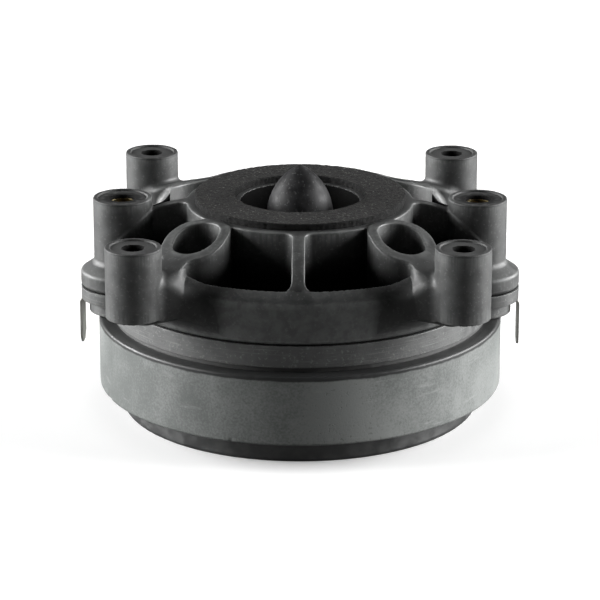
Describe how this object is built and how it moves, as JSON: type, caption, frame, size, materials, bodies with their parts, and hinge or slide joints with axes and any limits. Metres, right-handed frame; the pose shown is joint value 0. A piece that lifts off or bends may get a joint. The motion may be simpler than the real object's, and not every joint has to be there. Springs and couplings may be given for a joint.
{
  "type": "compression driver",
  "caption": "Ring-magnet compression driver with a moulded throat housing, pointed phase plug, fixing posts and spade terminals.",
  "frame": {"origin": "centre of the back plate's flat underside, which is the bottom centre of the whole driver", "axes": "+Z along the throat's axis towards the horn, +X through the two threaded mid posts and the terminals, -Y is the side seen in the picture"},
  "size_m": [0.095, 0.087, 0.0532],
  "materials": {
    "housing_plastic": "moulded, fine mottled texture",
    "carrier_plastic": "moulded, rubbed",
    "plug_plastic": "semi-gloss",
    "gasket_foam": "fibrous foam",
    "seal_rubber": "matt",
    "ferrite": "ground ceramic",
    "plate_steel": "black finish",
    "pole_steel": "turned",
    "copper": "bright copper",
    "winding": "enamelled wire",
    "felt": "wool felt",
    "dome_film": "formed film",
    "surround_cloth": "resin-treated cloth",
    "former_film": "amber film",
    "tinned_tab": "tinned",
    "brass": "turned",
    "screw_steel": "dark plated"
  },
  "bodies": {
    "driver": {"throat_housing": "housing_plastic", "diaphragm_carrier": "carrier_plastic", "phase_plug": "plug_plastic", "throat_gasket": "gasket_foam", "housing_seal": "seal_rubber", "magnet": "ferrite", "back_plate": "plate_steel", "top_plate": "plate_steel", "pole_piece": "pole_steel", "pole_cap": "copper", "damping_felt": "felt", "surround": "surround_cloth", "insert_left": "brass", "insert_right": "brass", "rivet_left": "brass", "rivet_right": "brass", "lead_left": "copper", "lead_right": "copper", "terminal_left": "tinned_tab", "terminal_right": "tinned_tab", "screw_front_left": "screw_steel", "screw_front_right": "screw_steel", "screw_back_left": "screw_steel", "screw_back_right": "screw_steel"},
    "moving_assembly": {"diaphragm_dome": "dome_film", "voice_coil_former": "former_film", "voice_coil": "winding"}
  },
  "joints": [
    {"name": "diaphragm_travel", "type": "slide", "parent": "driver", "child": "moving_assembly", "axis": [0, 0, 1], "range_m": [-0.0003, 0.0003], "stiffness_N_per_m": 500, "deforming": ["surround", "lead_left", "lead_right"]}
  ]
}
